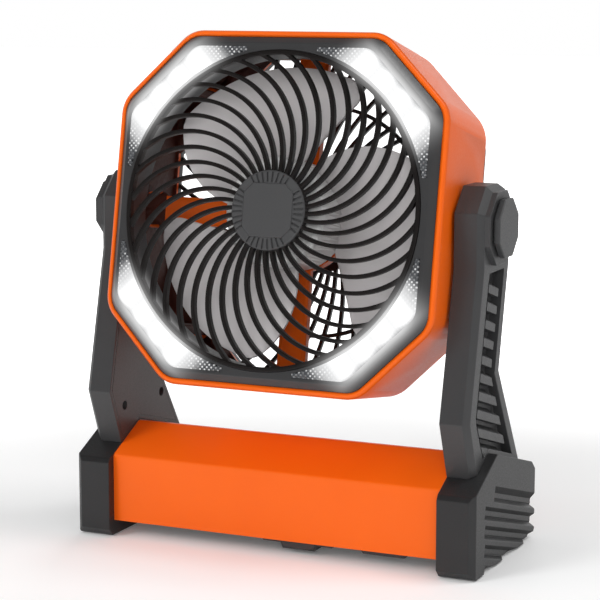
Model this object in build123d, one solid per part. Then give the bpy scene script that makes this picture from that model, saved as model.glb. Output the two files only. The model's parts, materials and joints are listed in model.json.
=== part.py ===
import os
from math import cos, radians, sin, sqrt, tan

from build123d import *

# Rechargeable camping fan: an eight-sided head with corner lights tilts between two arms
# on a battery base. X runs across, Y from front to back, Z up. Lengths in mm, angles in degrees.

# Shared clearances
cut_over = 2.0          # how far a cutting solid runs past what it cuts
fit_gap = 0.1           # between pieces that are fastened together
run_gap = 0.06          # round a pin or shaft that turns
slide_gap = 0.3         # between pieces that move past each other

# Stance
bay_width = 203.0       # between the inner faces of the arms
head_tilt_angle = 11.0        # lean of the head at rest
pivot_setback = 46.2    # tilt axis behind the front of the feet
head_clearance = 24.4   # head outline above the ridge of the base

# Feet
foot_width = 21.9
foot_depth = 105.3
foot_front_height = 46.6
foot_ridge_setback = 37.7
foot_ridge_height = 64.0
foot_shoulder_setback = 99.3
foot_shoulder_height = 46.5
foot_rear_height = 41.5
foot_toe = 4.2          # bevel along the bottom edges
foot_edge = 3.4         # bevel of the front outer edge
foot_brow = 1.8         # bevel between front face and roof
foot_lift = 0.8         # foot sole above the ground
foot_wall = 3.0
groove_count = 5
groove_pitch = 10.8
groove_slope_angle = 16.0
groove_depth = 2.8
groove_drop = 2.0       # upper, shaded flank
groove_top_drop = 3.5   # the same flank of the top groove
groove_floor = 3.7
groove_rise = 1.8       # lower, lit flank
groove_seam = 0.7       # fine line at the foot of each floor
groove_top_height = 51.1
groove_setback = 19.0
groove_top_setback = 35.0
pad_length = 24.0
pad_width = 12.0
pad_thickness = 2.4
pad_end_inset = 9.0

# Base housing between the feet
tube_setback = 6.0
tube_clearance = 9.5    # under the housing
tube_drop = 0.6         # roof of the housing below the roof of the feet
tube_wall = 3.0
tube_edge = 1.2
cover_thickness = 2.6
cover_margin = 5.0
block_setback = 6.0     # raised blocks on the bottom cover, behind its front edge
block_depth = 42.0
block_bevel = 1.6
block_left = 2.0
block_right = 25.0
block_drop = 6.4
step_left = -10.0
step_right = 36.0
step_drop = 3.2
skid_left = 51.5
skid_right = 79.5
skid_drop = 4.1
cell_count = 8
cell_radius = 9.1
cell_length = 65.2
cell_pitch = 18.9
cell_setback = 16.0
tray_floor = 1.4
tray_height = 9.0
tray_margin = 2.0
tip_radius = 2.8
tip_height = 0.9

# Controls on the back of the base
board_width = 150.0
board_height = 24.0
board_thickness = 1.6
board_height_centre = 28.0
board_gap = 5.6         # from the board to the inside of the rear wall
board_post_radius = 3.0
button_height = 28.0
button_radius = 6.0
button_proud = 1.2
button_flange = 1.3
button_flange_thickness = 1.2
button_stem_radius = 1.8
button_travel = 0.8
button_place_shares = {"fan_button": 0.347, "light_button": 0.187}
switch_size = 6.0
switch_height = 2.2
window_place_share = 0.027
window_width = 18.0
window_height = 4.0
flap_place_share = -0.255
flap_width = 42.0
flap_height = 17.0
flap_thickness = 2.0
flap_base_height = 19.5
usb_a_offset = 10.0      # from the middle of the flap
usb_a_width = 13.2
usb_a_height = 5.8
usb_c_offset = -11.0
usb_c_width = 9.0
usb_c_height = 3.3
port_wall = 0.4
port_tongue = 1.3

# Arms
arm_thickness = 16.5
arm_edge = 3.3
arm_knee_setback = 3.0
arm_knee_height = 85.9
arm_bend_drop = 21.1    # bend of the front edge below the tilt axis
arm_head_half = 23.3    # half of the eight-sided top, before its bevel
arm_rear_reach = 20.8   # rear of the top behind the tilt axis
arm_rear_drop = 21.6
arm_waist_setback = 52.6
arm_waist_height = 107.9
arm_heel_setback = 90.0
arm_instep_setback = 15.6
arm_wall = 2.6
arm_cavity = 7.5
arm_cover_thickness = 2.4
tongue_front = 40.0
tongue_rear = 58.0
tongue_depth = 12.0
tongue_thickness = 7.0
boss_rise = 3.0
louvre_frame = 13.0     # front crease to the sunk panel
louvre_rear_frame = 7.0
louvre_depth = 6.0
louvre_top_drop = 24.1
louvre_sill = 2.6
fin_count = 11
fin_pitch = 10.2
fin_height = 4.7
fin_rise = 3.3          # lit flank above each fin
fin_slope_angle = 16.4
fin_top_drop = 30.1
fin_sink = 0.3
fin_rear_slot = 5.0
arm_screw_front = 17.3    # front screw behind the knee
arm_screw_rear = 12.8     # rear screw behind the waist
arm_screw_height = 75.3
arm_screw_upper_drop = 48.6
arm_screw_sink = 4.8
arm_screw_hole = 2.8
arm_screw_cup = 3.7
screw_radius = 1.3
screw_head_radius = 2.5
screw_head_height = 1.6
arm_screw_length = 4.4

# Tilt pivots
pin_radius = 6.0
pin_bore = 4.0
pin_inset = 10.0        # length of pin held in the head
bearing_radius = 15.0
bearing_thickness = 6.0
nut_recess_radius = 13.0
nut_flats = 18.0
nut_thickness = 4.0
washer_radius = 11.0
washer_thickness = 0.9
washer_play = 0.4
friction_thickness = 0.4
friction_radius = 10.0
head_side_gap = 0.8     # side boss of the head to the arm
head_boss_radius = 10.6
cap_half = 16.0
cap_thickness = 3.2
cap_edge = 0.5
cap_neck_half = 14.6
cap_neck = 1.0
cap_spigot = 3.0

# Head shell
rim_reach = 39.0        # front rim ahead of the tilt axis
shell_back = 27.0       # rear of the shell behind the tilt axis
head_half = 100.2
head_cut = 41.0         # corner cut of the eight-sided outline
head_round = 18.0
head_rear_half = 98.4
head_rear_cut = 41.6
head_rear_round = 20.0
shell_wall = 2.6
rim_round = 1.6
duct_radius = 87.0
duct_wall = 2.2
duct_back = 24.0
boss_start = 88.0        # inner end of the side bosses
rear_opening_half = 94.0
rear_opening_cut = 58.0
spoke_count = 4
spoke_root = 15.0
spoke_tip = 17.5
spoke_thickness = 5.0
spoke_back = 7.0
cup_radius = 31.0
cup_floor = 4.0
cup_rim = 2.0
cup_height = 7.0
corner_angle = 45.0     # direction of the first corner from the head's middle
corner_post_reach = 98.5
corner_post_radius = 4.4
corner_post_front = 30.0
guard_post_angle = 12.0
guard_post_height = 14.0
led_ledge_place = 33.0
led_ledge_width = 4.8
led_ledge_overlap = 2.4
led_ledge_depth = 8.0

# Bezel, grille and lights
bezel_half = 96.5
bezel_cut = 38.8
bezel_round = 14.4
bezel_rise = 4.0        # face of the bezel ahead of the rim
bezel_plate = 3.2
bezel_seat = 6.0        # depth of the bezel inside the rim
ring_radius = 89.0
ring_width = 2.6
ring_proud = 0.7
grille_depth = 4.6
rib_count = 36
rib_width = 2.3
rib_mid_radius = 55.0
rib_mid_angle = 14.9
rib_tip_angle = 41.0
rib_first_angle = 7.8
hub_radius = 22.3
hub_edge = 0.8
hub_proud = 1.2         # face of the hub ahead of the ring
hub_slot_count = 8
hub_slot_fan_angle = 64.0
hub_slot_width = 0.9
hub_slot_depth = 1.0
hub_plate_half = 15.0
hub_plate_cut = 5.4
hub_plate_rise = 0.6
hub_plate_edge = 0.5
lens_half = 90.6
lens_cut = 37.6
lens_round = 9.8
lens_radius = 91.0
lens_tip = 21.5
lens_flange = 1.2
lens_flange_thickness = 1.2
lens_proud = 0.2
led_board_thickness = 1.6
led_board_front = 34.6
led_count = 6
led_size = 5.0
led_height = 1.6
led_reach = 97.5
led_spread_angle = 8.6
led_board_inner_radius = 91.5
led_board_angle = 31.0

# Rear guard
guard_thickness = 4.5
guard_inset = 0.6
guard_corner_inset = 5.0
guard_edge = 1.4
guard_rib_count = 44
guard_ring_radius = 67.0
guard_rib_width = 2.2
guard_rib_depth = 3.0
guard_mid_radius = 60.0
guard_mid_angle = -16.0
guard_tip_radius = 101.0
guard_tip_angle = -28.0
guard_disc_radius = 30.0

# Motor and impeller
shaft_radius = 2.5
shaft_front = 31.0
shaft_back = 2.2
bearing_outer_radius = 6.0
bearing_width = 4.0
bearing_rear_start = -1.4
bearing_front_start = 14.0
sleeve_radius = 8.0
sleeve_front = 18.5
motor_base_radius = 28.0
motor_base_thickness = 2.0
motor_screw_count = 3
motor_screw_reach = 20.0
clip_radius = 4.4
clip_thickness = 0.7
stator_teeth = 9
stator_back = 6.0
stator_front = 16.0
stator_core_radius = 12.0
stator_radius = 23.7
tooth_width = 3.6
tooth_head = 2.0
tooth_head_angle = 31.0
winding_width = 6.6
winding_inner_radius = 13.6
winding_outer_radius = 20.6
winding_overhang = 1.4
magnet_inner_radius = 24.1
magnet_outer_radius = 26.8
magnet_back = 4.0
magnet_front = 18.0
yoke_radius = 28.6
yoke_front = 21.5
yoke_disc = 1.5
yoke_hole_radius = 9.0
rotor_hub_radius = 31.0
rotor_hub_front = 35.0
rotor_hub_back = 3.0
rotor_hub_face = 2.0
rotor_hub_round = 2.4
rotor_boss_radius = 7.0
blade_count = 3
blade_thickness = 1.8
blade_tip_gap = 3.5
blade_back = 6.0
blade_root_front = 31.0
blade_tip_front = 29.0
blade_root_start_angle = 84.0
blade_root_end_angle = 190.0
blade_tip_start_angle = 57.0
blade_tip_end_angle = 158.0
blade_root_radius = 29.6
blade_tip_over = 3.0
petal_lead_root_angle = 86.0
petal_lead_tip_angle = 61.0
petal_lead_mid_angle = 67.0
petal_trail_root_angle = 175.0
petal_trail_tip_angle = 142.0
petal_trail_mid_angle = 160.0
petal_mid_radius = 60.0
petal_lead_round = 9.0
petal_trail_round = 12.0

# Worked-out places
pivot_height = foot_ridge_height + head_half + head_clearance
half_bay = bay_width / 2
foot_out = half_bay + foot_width
arm_out = half_bay + arm_thickness
arm_floor = half_bay + arm_cavity
boss_out = arm_out + boss_rise
cap_in = boss_out + cap_neck
cap_out = cap_in + cap_thickness
roof_rise_slope = (foot_ridge_height - foot_front_height) / foot_ridge_setback
roof_fall_slope = (foot_ridge_height - foot_shoulder_height) / (foot_shoulder_setback - foot_ridge_setback)
tube_front = tube_setback
tube_rear = foot_shoulder_setback
tube_rear_inside = tube_rear - tube_wall
board_rear = tube_rear_inside - board_gap
button_places = {name: share * board_width for name, share in button_place_shares.items()}
window_place = window_place_share * board_width
flap_place = flap_place_share * board_width
usb_a_place = flap_place + usb_a_offset
usb_c_place = flap_place + usb_c_offset
arm_front = pivot_setback - arm_head_half
arm_bend_height = pivot_height - arm_bend_drop
arm_rear_height = pivot_height - arm_rear_drop
louvre_top = pivot_height - louvre_top_drop
fin_top = pivot_height - fin_top_drop
head_side = half_bay - head_side_gap
face_reach = rim_reach + bezel_rise
blade_tip_radius = duct_radius - blade_tip_gap
grille_front = face_reach + ring_proud
grille_back = grille_front - grille_depth
hub_front = grille_front + hub_proud
guard_back = -shell_back - guard_thickness
lens_front = face_reach + lens_proud
spoke_front = spoke_thickness - spoke_back
cup_top = cup_floor - spoke_back
sole_top = pad_thickness


def roof_height(setback):
    if setback < foot_ridge_setback:
        return foot_front_height + setback * roof_rise_slope
    return foot_ridge_height - (setback - foot_ridge_setback) * roof_fall_slope


def outline(points):
    return Polygon(*points, align=None)


def octagon(half, cut):
    flat = half - cut
    return outline([(half, -flat), (half, flat), (flat, half), (-flat, half),
                    (-half, flat), (-half, -flat), (-flat, -half), (flat, -half)])


def rounded_octagon(half, cut, radius):
    face = octagon(half, cut)
    return fillet(face.vertices(), radius)


def even_octagon(half):
    return octagon(half, half * (1 - tan(radians(22.5))))


def slab(face, low, high):
    return extrude(Pos(0, 0, low) * face, amount=high - low, dir=(0, 0, 1))


def side_slab(face, low, high):
    return extrude(Plane.YZ.offset(low) * face, amount=high - low, dir=(1, 0, 0))


def rod(radius, low, high):
    return slab(Circle(radius), low, high)


def tube(outer, inner, low, high):
    return slab(Circle(outer) - Circle(inner), low, high)


def side_rod(radius, setback, height, low, high):
    return side_slab(Pos(setback, height) * Circle(radius), low, high)


def side_tube(outer, inner, setback, height, low, high):
    return side_slab(Pos(setback, height) * (Circle(outer) - Circle(inner)), low, high)


def block(low, high):
    size = [b - a for a, b in zip(low, high)]
    return Pos(*low) * Box(*size, align=(Align.MIN, Align.MIN, Align.MIN))


def polar(radius, angle):
    return radius * cos(radians(angle)), radius * sin(radians(angle))


def around(shape, count, first=0.0):
    return [Rot(0, 0, first + 360 * i / count) * shape for i in range(count)]


def mirrored(shape):
    return mirror(shape, about=Plane.YZ)


def pair(shape):
    return Compound(list(shape.solids()) + list(mirrored(shape).solids()))


def group(shapes):
    return Compound([solid for shape in shapes for solid in shape.solids()])


# Feet: roofed end blocks with slanting V grooves along the outside

def foot_outline():
    sole = foot_lift
    return outline([(0, sole + foot_toe), (0, foot_front_height), (foot_ridge_setback, foot_ridge_height),
                    (foot_shoulder_setback, foot_shoulder_height), (foot_depth, foot_rear_height),
                    (foot_depth, sole + foot_toe), (foot_depth - foot_toe, sole), (foot_toe, sole)])


def groove(start, height, drop):
    way = (0, cos(radians(groove_slope_angle)), -sin(radians(groove_slope_angle)))
    place = Plane(origin=(foot_out, start, height), x_dir=(1, 0, 0), z_dir=way)
    step = drop + groove_floor
    bottom = step + groove_rise
    section = outline([(0, 0), (-groove_depth, drop), (-groove_depth, step - groove_seam),
                       (-groove_depth - groove_seam, step - groove_seam / 2), (-groove_depth, step),
                       (0, bottom), (cut_over, bottom), (cut_over, 0)])
    return extrude(place * section, amount=foot_depth, dir=way)


def grooves():
    fall = tan(radians(groove_slope_angle))
    top_start = groove_top_height - (groove_top_setback - groove_setback) * fall
    cuts = [groove(groove_top_setback, top_start, groove_top_drop)]
    for i in range(1, groove_count):
        height = groove_top_height - groove_top_drop + groove_drop - i * groove_pitch
        cuts.append(groove(groove_setback, height, groove_drop))
    return cuts


def tongue(margin):
    low = roof_height(tongue_rear) - tongue_depth
    mid = (arm_floor + half_bay + arm_wall) / 2
    half = tongue_thickness / 2 + margin
    return side_slab(outline([(tongue_front - margin, low - margin), (tongue_rear + margin, low - margin),
                              (tongue_rear + margin, roof_height(tongue_rear) + margin),
                              (tongue_front - margin, roof_height(tongue_front) + margin)]),
                     mid - half, mid + half)


def pad_places():
    first = pad_end_inset
    last = foot_depth - pad_end_inset - pad_length
    return [(half_bay + (foot_width - pad_width) / 2, y) for y in (first, last)]


def pad(place, margin):
    x, y = place
    return block((x - margin, y - margin, -cut_over * (margin > 0)),
                 (x + pad_width + margin, y + pad_length + margin, sole_top + margin))


def right_foot():
    body = side_slab(foot_outline(), half_bay, foot_out)
    front_edges = body.edges().filter_by(Axis.Z).group_by(Axis.Y)[0].sort_by(Axis.X)
    body = chamfer(front_edges[-1], foot_edge)
    brow = body.edges().filter_by(Axis.X).filter_by_position(Axis.Y, -fit_gap, fit_gap).sort_by(Axis.Z)
    body = chamfer(brow[-1], foot_brow)
    hollow = offset(tube_outline(), amount=-tube_wall - foot_wall, kind=Kind.INTERSECTION)
    body -= side_slab(hollow, half_bay - cut_over, foot_out - foot_wall - groove_depth)
    body += [foot_post(place) for place in foot_screw_places()]
    body -= [foot_screw_hole(place) for place in foot_screw_places()]
    body -= grooves()
    body -= tongue(fit_gap)
    body -= [pad(place, fit_gap) for place in pad_places()]
    return body


def foot_pads():
    pads = [pad(place, 0) for place in pad_places()]
    return pair(group(pads))


# Screws that hold the feet to the ends of the base housing, driven from inside the housing

def foot_screw_places():
    height = (tube_clearance + foot_front_height) / 2
    return [(tube_front + foot_depth / 5, height), (tube_rear - foot_depth / 5, height)]


def foot_post(place):
    return side_rod(arm_screw_cup, *place, half_bay, foot_out - foot_wall - groove_depth)


def foot_screw_hole(place):
    start = half_bay - tube_wall - cut_over
    return side_rod(screw_radius + fit_gap, *place, start, half_bay + foot_wall * 4)


def screw_along_x(place, head_at, length):
    body = side_rod(screw_head_radius, *place, head_at - screw_head_height, head_at)
    return body + side_rod(screw_radius, *place, head_at, head_at + length)


def foot_screws():
    length = tube_wall + foot_wall * 3
    return pair(group([screw_along_x(place, half_bay - tube_wall, length) for place in foot_screw_places()]))


# Base housing with battery, board, ports and buttons

def tube_outline():
    return outline([(tube_front, tube_clearance), (tube_front, roof_height(tube_front) - tube_drop),
                    (foot_ridge_setback, foot_ridge_height - tube_drop),
                    (tube_rear, foot_shoulder_height - tube_drop), (tube_rear, tube_clearance)])


def cover_opening(margin):
    low = (-half_bay + cover_margin - margin, tube_front + cover_margin - margin, tube_clearance)
    reach = margin - cover_margin
    high = (half_bay + reach, tube_rear + reach, tube_clearance + cover_thickness)
    return low, high


def rear_hole(face, x, height, low):
    return extrude(Plane(origin=(x, low, height), x_dir=(1, 0, 0), z_dir=(0, -1, 0)) * face,
                   amount=tube_rear - low + cut_over, dir=(0, 1, 0))


def rear_rod(radius, x, height, low, high):
    return extrude(Plane(origin=(x, low, height), x_dir=(1, 0, 0), z_dir=(0, -1, 0)) * Circle(radius),
                   amount=high - low, dir=(0, 1, 0))


def flap_recess():
    half = flap_width / 2 + slide_gap
    low = flap_base_height - slide_gap
    return block((flap_place - half, tube_rear - flap_thickness - slide_gap, low),
                 (flap_place + half, tube_rear + cut_over, flap_base_height + flap_height + slide_gap))


def board_post_places():
    reach = board_width / 2 - board_post_radius * 2
    return [(-reach, board_height_centre), (reach, board_height_centre)]


def tray_top():
    return tube_clearance + cover_thickness + tray_floor


def cover_screw_places():
    inset = cover_margin + board_post_radius
    ys = (tube_front + inset + tube_wall, tube_rear - inset - tube_wall)
    xs = (-half_bay + inset + tube_wall, half_bay - inset - tube_wall)
    return [(x, y) for x in xs for y in ys]


def cover_post_length():
    return foot_front_height - tube_clearance - cover_thickness - tube_wall * 2


def base_housing():
    body = side_slab(tube_outline(), -half_bay, half_bay)
    along = body.edges().filter_by(Axis.X)
    crests = along.filter_by_position(Axis.Z, tube_clearance + tube_wall, foot_ridge_height)
    body = chamfer(crests, tube_edge)
    hollow = offset(tube_outline(), amount=-tube_wall, kind=Kind.INTERSECTION)
    body -= side_slab(hollow, tube_wall - half_bay, half_bay - tube_wall)
    low, high = cover_opening(fit_gap)
    body -= block((low[0], low[1], low[2] - cut_over), (high[0], high[1], tube_clearance + tube_wall))
    body += [Pos(x, y, tube_clearance + cover_thickness) * rod(board_post_radius, 0, cover_post_length())
             for x, y in cover_screw_places()]
    body -= [Pos(x, y, tube_clearance) * rod(screw_radius + fit_gap, 0, cover_post_length())
             for x, y in cover_screw_places()]
    body += [rear_rod(board_post_radius, x, z, board_rear, tube_rear_inside) for x, z in board_post_places()]
    body -= [foot_screw_hole(place) for place in foot_screw_places()]
    body -= [mirrored(foot_screw_hole(place)) for place in foot_screw_places()]
    body -= [rear_hole(Circle(button_radius + slide_gap), x, button_height, tube_rear_inside - cut_over)
             for x in button_places.values()]
    window = Rectangle(window_width + fit_gap, window_height + fit_gap)
    body -= rear_hole(window, window_place, button_height, tube_rear_inside - cut_over)
    body -= flap_recess()
    ports = ((usb_a_place, usb_a_width, usb_a_height), (usb_c_place, usb_c_width, usb_c_height))
    for place, width, height in ports:
        face = Rectangle(width + 2 * fit_gap, height + 2 * fit_gap)
        body -= rear_hole(face, place, button_height, tube_rear_inside - cut_over)
    return body


def raised_block(left, right, drop):
    front = tube_front + block_setback
    top = Rectangle(right - left, block_depth)
    bottom = Rectangle(right - left - 2 * block_bevel, block_depth - 2 * block_bevel)
    middle = Pos((left + right) / 2, front + block_depth / 2, tube_clearance)
    return loft([middle * top, middle * Pos(0, 0, -drop) * bottom], ruled=True)


def base_bottom_cover():
    low, high = cover_opening(0)
    body = block(low, high)
    body += raised_block(step_left, step_right, step_drop)
    body += raised_block(block_left, block_right, block_drop)
    body += raised_block(skid_left, skid_right, skid_drop)
    body -= [Pos(x, y, tube_clearance) * rod(screw_head_radius + fit_gap, 0, screw_head_height)
             for x, y in cover_screw_places()]
    body -= [Pos(x, y, tube_clearance) * rod(screw_radius + fit_gap, 0, cover_thickness + cut_over)
             for x, y in cover_screw_places()]
    return body


def base_cover_screws():
    length = cover_post_length() / 3
    screw = rod(screw_head_radius, 0, screw_head_height) + rod(screw_radius, screw_head_height, length)
    return group([Pos(x, y, tube_clearance) * screw for x, y in cover_screw_places()])


def cell_axes():
    height = tray_top() + cell_radius
    return [((i - (cell_count - 1) / 2) * cell_pitch, height) for i in range(cell_count)]


def cell_blank(radius, start, length):
    return [Pos(x, start, z) * Rot(-90, 0, 0) * rod(radius, 0, length) for x, z in cell_axes()]


def battery_cells():
    cans = cell_blank(cell_radius, cell_setback, cell_length - tip_height)
    tips = cell_blank(tip_radius, cell_setback + cell_length - tip_height, tip_height)
    return group([can + tip for can, tip in zip(cans, tips)])


def battery_tray():
    half = cell_count * cell_pitch / 2 + tray_margin
    floor = tube_clearance + cover_thickness
    body = block((-half, cell_setback - tray_margin, floor),
                 (half, cell_setback + cell_length + tray_margin, floor + tray_height))
    pocket_start = cell_setback - fit_gap
    return body - cell_blank(cell_radius + fit_gap, pocket_start, cell_length + 2 * fit_gap)


def main_board():
    half = board_width / 2
    low = board_height_centre - board_height / 2
    return block((-half, board_rear - board_thickness, low), (half, board_rear, low + board_height))


def tact_switches():
    top = board_rear + switch_height
    half = switch_size / 2
    bodies = []
    for x in button_places.values():
        base = block((x - half, board_rear, button_height - half), (x + half, top, button_height + half))
        bodies.append(base + rear_rod(button_stem_radius, x, button_height, top, top + port_tongue))
    return group(bodies)


def push_button(x):
    flange_face = tube_rear_inside - fit_gap
    switch_top = board_rear + switch_height + port_tongue
    body = rear_rod(button_radius, x, button_height, flange_face, tube_rear + button_proud)
    rim = body.edges().filter_by(GeomType.CIRCLE).sort_by(Axis.Y)[-1]
    body = chamfer(rim, button_proud / 2)
    back = flange_face - button_flange_thickness
    body += rear_rod(button_radius + button_flange, x, button_height, back, flange_face)
    return body + rear_rod(button_stem_radius, x, button_height, switch_top + button_travel + fit_gap, back)


def indicator_window():
    half = window_width / 2
    rise = window_height / 2
    return block((window_place - half, board_rear, button_height - rise),
                 (window_place + half, tube_rear, button_height + rise))


def port_shell(place, width, height):
    face = Rectangle(width, height)
    bore = Rectangle(width - 2 * port_wall, height - 2 * port_wall)
    tongue_face = Rectangle(width - height / 2, port_tongue)
    mouth = tube_rear - flap_thickness - slide_gap - fit_gap
    seat = Plane(origin=(place, board_rear, button_height), x_dir=(1, 0, 0), z_dir=(0, -1, 0))
    depth = mouth - board_rear
    body = extrude(seat * face, amount=depth, dir=(0, 1, 0))
    body -= extrude(seat * Pos(0, 0, -port_tongue) * bore, amount=depth, dir=(0, 1, 0))
    return body + extrude(seat * tongue_face, amount=depth - port_tongue, dir=(0, 1, 0))


def usb_a_port():
    return port_shell(usb_a_place, usb_a_width, usb_a_height)


def usb_c_port():
    return port_shell(usb_c_place, usb_c_width, usb_c_height)


def flap_axis():
    return tube_rear - flap_thickness / 2, flap_base_height + flap_thickness / 2


def port_flap():
    setback, height = flap_axis()
    radius = flap_thickness / 2
    top = flap_base_height + flap_height
    plate = outline([(setback - radius, height), (setback + radius, height), (setback + radius, top),
                     (setback - radius, top)])
    face = plate + Pos(setback, height) * Circle(radius)
    low = flap_place - flap_width / 2
    return side_slab(face, low, low + flap_width)


# Arms: hollow side frames with an eight-sided top and a louvred outside

def arm_outline():
    corner = arm_head_half * tan(radians(22.5))
    top = pivot_height + arm_head_half
    rear = pivot_setback + arm_rear_reach
    drop = rear - pivot_setback - corner
    return outline([(arm_instep_setback, roof_height(arm_instep_setback)),
                    (arm_knee_setback, arm_knee_height),
                    (arm_front, arm_bend_height), (arm_front, pivot_height + corner),
                    (pivot_setback - corner, top), (pivot_setback + corner, top), (rear, top - drop),
                    (rear, arm_rear_height), (arm_waist_setback, arm_waist_height),
                    (arm_heel_setback, roof_height(arm_heel_setback)),
                    (foot_ridge_setback, foot_ridge_height)])


def louvre_outline(rear_frame):
    lean = (arm_front - arm_knee_setback) / (arm_bend_height - arm_knee_height)
    front_top = arm_front + louvre_frame - lean * (arm_bend_height - louvre_top)
    rear = pivot_setback + arm_rear_reach
    rear_top = rear - rear_frame - lean * (arm_rear_height - louvre_top)
    instep = arm_instep_setback + louvre_frame
    heel = arm_heel_setback - rear_frame * sqrt(3)
    return outline([(front_top, louvre_top), (arm_knee_setback + louvre_frame, arm_knee_height),
                    (instep, roof_height(instep) + louvre_sill),
                    (foot_ridge_setback, foot_ridge_height + louvre_sill),
                    (heel, roof_height(heel) + louvre_sill),
                    (arm_waist_setback - rear_frame, arm_waist_height), (rear_top, louvre_top)])


def louvre_fin(i):
    fall = tan(radians(fin_slope_angle))
    reach = foot_depth
    floor = arm_out - louvre_depth
    face_out = arm_out - fin_sink
    top = fin_top - i * fin_pitch + reach * fall
    low = top - fin_height
    start = arm_front + louvre_frame - reach
    section = make_face(Polyline((floor, start, low), (face_out, start, low), (face_out, start, top),
                                 (floor, start, top + fin_rise), close=True))
    return extrude(section, amount=2 * reach / cos(radians(fin_slope_angle)), dir=(0, 1, -fall))


def louvre_fins():
    field = louvre_outline(louvre_rear_frame + fin_rear_slot)
    room = side_slab(field, arm_out - louvre_depth, arm_out)
    return [louvre_fin(i) & room for i in range(fin_count)]


def arm_screw_places():
    upper = pivot_height - arm_screw_upper_drop
    middle = (arm_waist_setback + arm_knee_setback + louvre_frame) / 2
    return [(arm_knee_setback + arm_screw_front, arm_screw_height),
            (arm_waist_setback + arm_screw_rear, arm_screw_height), (middle, upper)]


def arm_screw_cups(outer, start, end):
    return [side_rod(outer, y, z, start, end) for y, z in arm_screw_places()]


def arm_blank():
    body = side_slab(arm_outline(), half_bay, arm_out)
    rim = body.faces().sort_by(Axis.X)[-1].edges()
    rear_limit = pivot_setback + arm_head_half * tan(radians(22.5))
    front = [e for e in rim if e.center().Y < rear_limit and e.center().Z > foot_ridge_height + arm_wall]
    waist = [e for e in front if e.center().Y < arm_waist_setback - arm_wall]
    return chamfer(waist, arm_edge)


def right_arm():
    body = arm_blank()
    inset = offset(arm_outline(), amount=-arm_wall, kind=Kind.INTERSECTION)
    body -= side_slab(inset, half_bay - cut_over, arm_floor)
    bearing_in = half_bay + arm_cover_thickness + fit_gap
    body += side_rod(bearing_radius, pivot_setback, pivot_height, bearing_in, arm_floor)
    body += arm_screw_cups(arm_screw_cup, half_bay + arm_screw_sink + arm_cover_thickness, arm_floor)
    boss = Pos(pivot_setback, pivot_height) * even_octagon(arm_head_half - arm_edge)
    body += side_slab(boss, arm_out, boss_out)
    body -= side_slab(louvre_outline(louvre_rear_frame), arm_out - louvre_depth, arm_out + cut_over)
    body += louvre_fins()
    body += tongue(0)
    bearing_out = half_bay + arm_cover_thickness + bearing_thickness
    body -= side_rod(nut_recess_radius, pivot_setback, pivot_height, bearing_out, boss_out + cut_over)
    body -= side_rod(pin_radius + run_gap, pivot_setback, pivot_height, half_bay - cut_over, boss_out)
    hole_end = half_bay + arm_screw_sink + arm_screw_length + fit_gap
    body -= arm_screw_cups(screw_radius + fit_gap, half_bay, hole_end)
    return body


def right_arm_cover():
    inset = offset(arm_outline(), amount=-arm_wall - fit_gap, kind=Kind.INTERSECTION)
    body = side_slab(inset, half_bay, half_bay + arm_cover_thickness)
    cup_end = half_bay + arm_screw_sink + arm_cover_thickness
    body += arm_screw_cups(arm_screw_cup, half_bay + arm_cover_thickness, cup_end)
    body -= arm_screw_cups(arm_screw_hole, half_bay - cut_over, half_bay + arm_screw_sink)
    body -= arm_screw_cups(screw_radius + fit_gap, half_bay, cup_end + cut_over)
    body -= side_rod(pin_radius + slide_gap, pivot_setback, pivot_height, half_bay - cut_over, arm_out)
    return body


def arm_screws():
    seat = half_bay + arm_screw_sink
    return pair(group([screw_along_x(place, seat, arm_screw_length) for place in arm_screw_places()]))


# Tilt pivots: hollow pins fixed in the head turn in the arms, held by nuts behind caps

def right_pivot_pin():
    bearing_out = half_bay + arm_cover_thickness + bearing_thickness
    end = bearing_out + washer_thickness + washer_play + nut_thickness
    return side_tube(pin_radius, pin_bore, pivot_setback, pivot_height, head_side - pin_inset, end)


def pivot_nuts():
    start = half_bay + arm_cover_thickness + bearing_thickness + washer_thickness + washer_play
    face = RegularPolygon(nut_flats / 2, 6, major_radius=False) - Circle(pin_radius + fit_gap / 2)
    nut = side_slab(Pos(pivot_setback, pivot_height) * face, start, start + nut_thickness)
    return pair(nut)


def spring_washers():
    start = half_bay + arm_cover_thickness + bearing_thickness
    end = start + washer_thickness
    ring = side_tube(washer_radius, pin_radius + slide_gap, pivot_setback, pivot_height, start, end)
    return pair(ring)


def friction_washers():
    inner = pin_radius + slide_gap
    start = half_bay - friction_thickness
    ring = side_tube(friction_radius, inner, pivot_setback, pivot_height, start, half_bay)
    return pair(ring)


def right_pivot_cap():
    middle = Pos(pivot_setback, pivot_height)
    face = side_slab(middle * even_octagon(cap_half), cap_in, cap_out)
    rim = face.faces().sort_by(Axis.X)[-1].edges()
    face = chamfer(rim, cap_edge)
    neck = side_slab(middle * even_octagon(cap_neck_half), boss_out, cap_in)
    spigot_radius = nut_recess_radius - fit_gap
    spigot = side_rod(spigot_radius, pivot_setback, pivot_height, boss_out - cap_spigot, boss_out)
    return face + neck + spigot


# Head shell: eight-sided moulding, open behind, with four spokes and the motor cup
# Head pieces are drawn lying on their backs: X across, Y up, Z forward from the tilt axis

def shell_cavity():
    margin = shell_wall * (2 - sqrt(2))
    rear = rounded_octagon(head_rear_half - shell_wall, head_rear_cut - margin, head_rear_round - shell_wall)
    front = rounded_octagon(bezel_half + fit_gap, bezel_cut, bezel_round)
    floor = shell_wall - shell_back
    ledge = rim_reach - bezel_seat - fit_gap
    body = loft([Pos(0, 0, floor) * rear, Pos(0, 0, ledge) * front], ruled=True)
    return body + slab(front, ledge, rim_reach + cut_over)


def corner_places(reach, turn):
    return [polar(reach, corner_angle + 90 * i + turn) for i in range(4)]


def posts(places, radius, low, high):
    return [Pos(x, y) * rod(radius, low, high) for x, y in places]


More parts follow.
